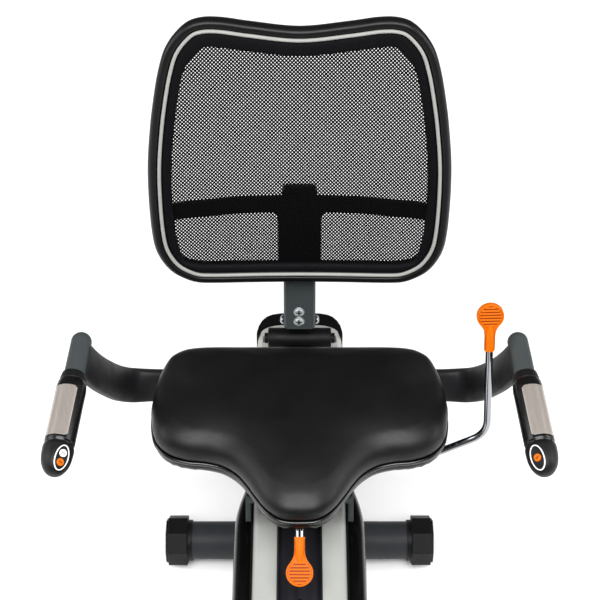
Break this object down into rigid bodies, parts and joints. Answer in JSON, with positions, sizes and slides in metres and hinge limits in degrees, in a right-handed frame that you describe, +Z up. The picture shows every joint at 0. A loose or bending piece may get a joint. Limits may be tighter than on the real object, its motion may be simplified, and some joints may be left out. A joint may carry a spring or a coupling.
{
  "type": "recumbent exercise bike",
  "caption": "Recumbent exercise bike with a saddle-shaped seat on a sliding carriage, a reclining mesh back, side pulse grips, a covered flywheel drive, pedals and a console on a mast.",
  "frame": {"origin": "on the floor, under the centre of the bike's bounding box", "axes": "+Z up, -Y towards the front of the bike, +X to the rider's left"},
  "size_m": [0.7086, 1.612, 1.1712],
  "materials": {
    "slate_paint": "fine textured powder coat, dark slate grey",
    "black_steel": "satin black paint",
    "silver": "light pearl silver, satin",
    "channel_black": "matte near-black",
    "gloss_black": "glossy moulded black",
    "matte_black": "matte moulded black",
    "rubber": "matte black rubber",
    "tyre": "hard black tread",
    "vinyl": "satin black vinyl over foam",
    "mesh_fabric": "open black mesh",
    "piping": "light grey piping",
    "chrome": "polished",
    "brushed": "brushed along the grip",
    "iron": "machined rim",
    "alloy": "machined",
    "orange": "moulded orange, semi-gloss",
    "white": "moulded white",
    "screen": "dark display window"
  },
  "bodies": {
    "frame": {"main_frame": "slate_paint", "seat_rail": "silver", "rail_channel": "channel_black", "side_cover_left": "gloss_black", "side_cover_right": "gloss_black", "rear_arch": "silver", "rear_lift_handle": "matte_black", "rear_bumper": "gloss_black", "rear_stabilizer": "slate_paint", "rear_foot_cap_left": "rubber", "rear_foot_cap_right": "rubber", "front_stabilizer": "slate_paint", "front_foot_cap_left": "rubber", "front_foot_cap_right": "rubber", "drive_belt": "rubber", "tension_motor": "matte_black", "housing_left": "gloss_black", "housing_right": "gloss_black", "console_mast": "slate_paint", "front_handlebar": "slate_paint"},
    "wheel_left": {"transport_wheel_left": "tyre"},
    "wheel_right": {"transport_wheel_right": "tyre"},
    "crank": {"crank_axle": "alloy", "drive_pulley": "matte_black", "crank_arm_left": "black_steel", "crank_arm_right": "black_steel"},
    "pedal_left": {"pedal_left": "matte_black", "pedal_strap_left": "rubber"},
    "pedal_right": {"pedal_right": "matte_black", "pedal_strap_right": "rubber"},
    "flywheel": {"flywheel": "iron", "flywheel_spindle": "alloy"},
    "idler": {"idler_pulley": "matte_black"},
    "brake": {"brake_arm": "black_steel"},
    "console": {"console_body": "matte_black", "console_screen": "screen"},
    "dial": {"console_dial": "orange"},
    "seat": {"seat_carriage": "black_steel", "seat_frame": "slate_paint", "seat_base": "gloss_black", "seat_pad": "vinyl", "pivot_bolt": "chrome", "grip_left": "rubber", "grip_right": "rubber", "pulse_sensor_left": "brushed", "pulse_sensor_right": "brushed", "grip_cap_left": "matte_black", "grip_cap_right": "matte_black"},
    "back": {"back_post": "slate_paint", "back_frame": "gloss_black", "back_piping": "piping", "back_mesh": "mesh_fabric", "lumbar_bar": "matte_black"},
    "side_lever": {"side_lever_rod": "chrome", "side_lever_paddle": "orange"},
    "front_lever": {"front_lever_rod": "chrome", "front_lever_paddle": "orange"},
    "button_left": {"button_left": "orange"},
    "button_right_upper": {"button_right_upper": "white"},
    "button_right_lower": {"button_right_lower": "orange"}
  },
  "joints": [
    {"name": "transport_wheel_left_spin", "type": "hinge", "parent": "frame", "child": "wheel_left", "pos_m": [0.206, -0.776, 0.042], "axis": [1, 0, 0], "continuous": true},
    {"name": "transport_wheel_right_spin", "type": "hinge", "parent": "frame", "child": "wheel_right", "pos_m": [-0.206, -0.776, 0.042], "axis": [1, 0, 0], "continuous": true},
    {"name": "flywheel_spin", "type": "hinge", "parent": "frame", "child": "flywheel", "pos_m": [0, -0.588, 0.3], "axis": [1, 0, 0], "continuous": true},
    {"name": "crank_spin", "type": "hinge", "parent": "frame", "child": "crank", "pos_m": [0, -0.338, 0.35], "axis": [1, 0, 0], "continuous": true},
    {"name": "idler_spin", "type": "hinge", "parent": "frame", "child": "idler", "pos_m": [0.026, -0.465, 0.182], "axis": [1, 0, 0], "continuous": true},
    {"name": "pedal_left_spin", "type": "hinge", "parent": "crank", "child": "pedal_left", "pos_m": [0.09, -0.49207, 0.27815], "axis": [1, 0, 0], "continuous": true},
    {"name": "pedal_right_spin", "type": "hinge", "parent": "crank", "child": "pedal_right", "pos_m": [-0.09, -0.18393, 0.42185], "axis": [1, 0, 0], "continuous": true},
    {"name": "brake_swing", "type": "hinge", "parent": "frame", "child": "brake", "pos_m": [-0.02, -0.502, 0.172], "axis": [1, 0, 0], "range_deg": [0, 4]},
    {"name": "console_tilt", "type": "hinge", "parent": "frame", "child": "console", "pos_m": [0, -0.483, 1.008], "axis": [1, 0, 0], "range_deg": [-12, 12]},
    {"name": "dial_turn", "type": "hinge", "parent": "console", "child": "dial", "pos_m": [0, -0.4952, 1.05696], "axis": [0, 0.8829, 0.4695], "range_deg": [-150, 150]},
    {"name": "seat_slide", "type": "slide", "parent": "frame", "child": "seat", "axis": [0, -1, 0], "range_m": [-0.03, 0.27]},
    {"name": "back_recline", "type": "hinge", "parent": "seat", "child": "back", "pos_m": [0, 0.69082, 0.43029], "axis": [-1, 0, 0], "range_deg": [-4, 18]},
    {"name": "side_lever_pull", "type": "hinge", "parent": "seat", "child": "side_lever", "pos_m": [0.08, 0.428, 0.411], "axis": [-1, 0, 0], "range_deg": [0, 16], "stiffness_Nm_per_rad": 1.5, "springref_deg": -11.46},
    {"name": "front_lever_press", "type": "hinge", "parent": "seat", "child": "front_lever", "pos_m": [0, 0.352, 0.411], "axis": [1, 0, 0], "range_deg": [0, 9], "stiffness_Nm_per_rad": 1.5, "springref_deg": -11.46},
    {"name": "button_left_press", "type": "slide", "parent": "seat", "child": "button_left", "axis": [0.5159, 0.4668, -0.7182], "range_m": [0, 0.0008], "stiffness_N_per_m": 400},
    {"name": "button_right_upper_press", "type": "slide", "parent": "seat", "child": "button_right_upper", "axis": [-0.5159, 0.4668, -0.7182], "range_m": [0, 0.0008], "stiffness_N_per_m": 400},
    {"name": "button_right_lower_press", "type": "slide", "parent": "seat", "child": "button_right_lower", "axis": [-0.5159, 0.4668, -0.7182], "range_m": [0, 0.0008], "stiffness_N_per_m": 400}
  ],
  "couplings": [
    {"joint": "crank_spin", "follows": "flywheel_spin", "ratio": 0.14546},
    {"joint": "idler_spin", "follows": "flywheel_spin", "ratio": -0.88889}
  ]
}
